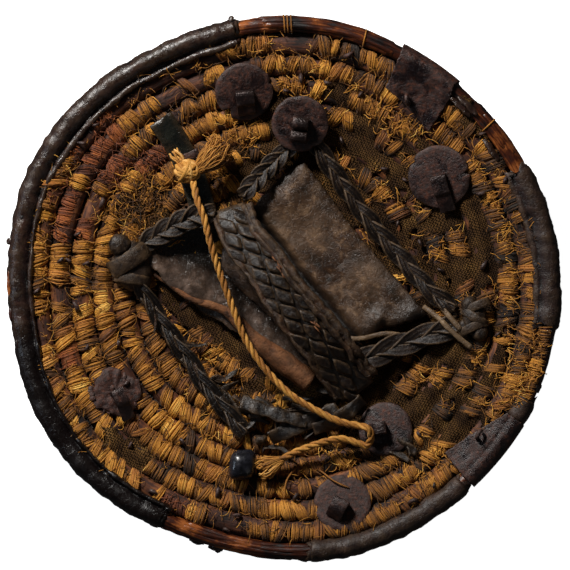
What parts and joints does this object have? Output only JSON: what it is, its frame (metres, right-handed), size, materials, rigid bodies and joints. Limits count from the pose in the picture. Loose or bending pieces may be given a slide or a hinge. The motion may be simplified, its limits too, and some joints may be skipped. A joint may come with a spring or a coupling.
{
  "type": "buckler",
  "caption": "Round coiled-cane buckler lying on its leather front, hand side up, with plaited leather grip, iron fittings and a loose twisted cord.",
  "frame": {"origin": "middle of the flat spot on the front, which lies on the ground", "axes": "+Z out of the hand side, +Y towards the end of the handle under the top roundel, +X to the right seen from the hand side"},
  "size_m": [0.3602, 0.3551, 0.0511],
  "materials": {
    "front_leather": "dark aged leather, creased, dull",
    "cane_and_yarn": "red-brown cane wound with coarse ochre yarn, dusty",
    "lining_cloth": "coarse plain weave, frayed",
    "rim_cane": "reddish cane, rubbed smooth",
    "rim_leather": "black-brown leather, worn, slight sheen",
    "iron": "wrought iron, dark with rust",
    "knob": "rounded iron knob, rubbed glossy",
    "handle_leather": "plaited hide, dry, worn edges",
    "pad_leather": "grey-brown leather over a soft filling, wrinkled",
    "cord": "twisted plant-fibre cord"
  },
  "bodies": {
    "root": {"front_leather": "front_leather", "coiled_cane_body": "cane_and_yarn", "lining_cloth": "lining_cloth", "rim_cane": "rim_cane", "rim_leather_left": "rim_leather", "rim_leather_bottom": "rim_leather", "rim_leather_right": "rim_leather", "rim_plate_upper": "iron", "rim_plate_lower": "iron", "rim_plate_upper_pin": "iron", "rim_plate_lower_pin": "iron", "strap_staple": "iron", "roundel_top_left": "iron", "roundel_handle_top": "iron", "roundel_upper_right": "iron", "roundel_lower_left": "iron", "roundel_handle_lower": "iron", "roundel_bottom": "iron", "strap_pin_top_left": "iron", "strap_pin_handle_top": "iron", "strap_pin_upper_right": "iron", "strap_pin_lower_left": "iron", "strap_pin_handle_lower": "iron", "strap_pin_bottom": "iron", "clinched_nail_1": "iron", "clinched_nail_2": "iron", "clinched_nail_3": "iron", "clinched_nail_4": "iron", "clinched_nail_5": "iron", "clinched_nail_6": "iron", "knob": "knob", "handle_corner_left": "handle_leather", "handle_corner_right": "handle_leather", "grip_plait": "handle_leather", "braid_top_to_grip": "handle_leather", "braid_left_to_grip": "handle_leather", "braid_top_to_right": "handle_leather", "braid_left_to_bottom": "handle_leather", "braid_grip_to_right": "handle_leather", "broken_leather": "handle_leather", "flat_strap": "handle_leather", "hand_pad": "pad_leather", "hand_pad_torn_flap": "pad_leather", "cord": "cord", "cord_knot": "cord", "cord_tassel_upper": "cord", "cord_end_tuft": "cord"}
  },
  "joints": []
}
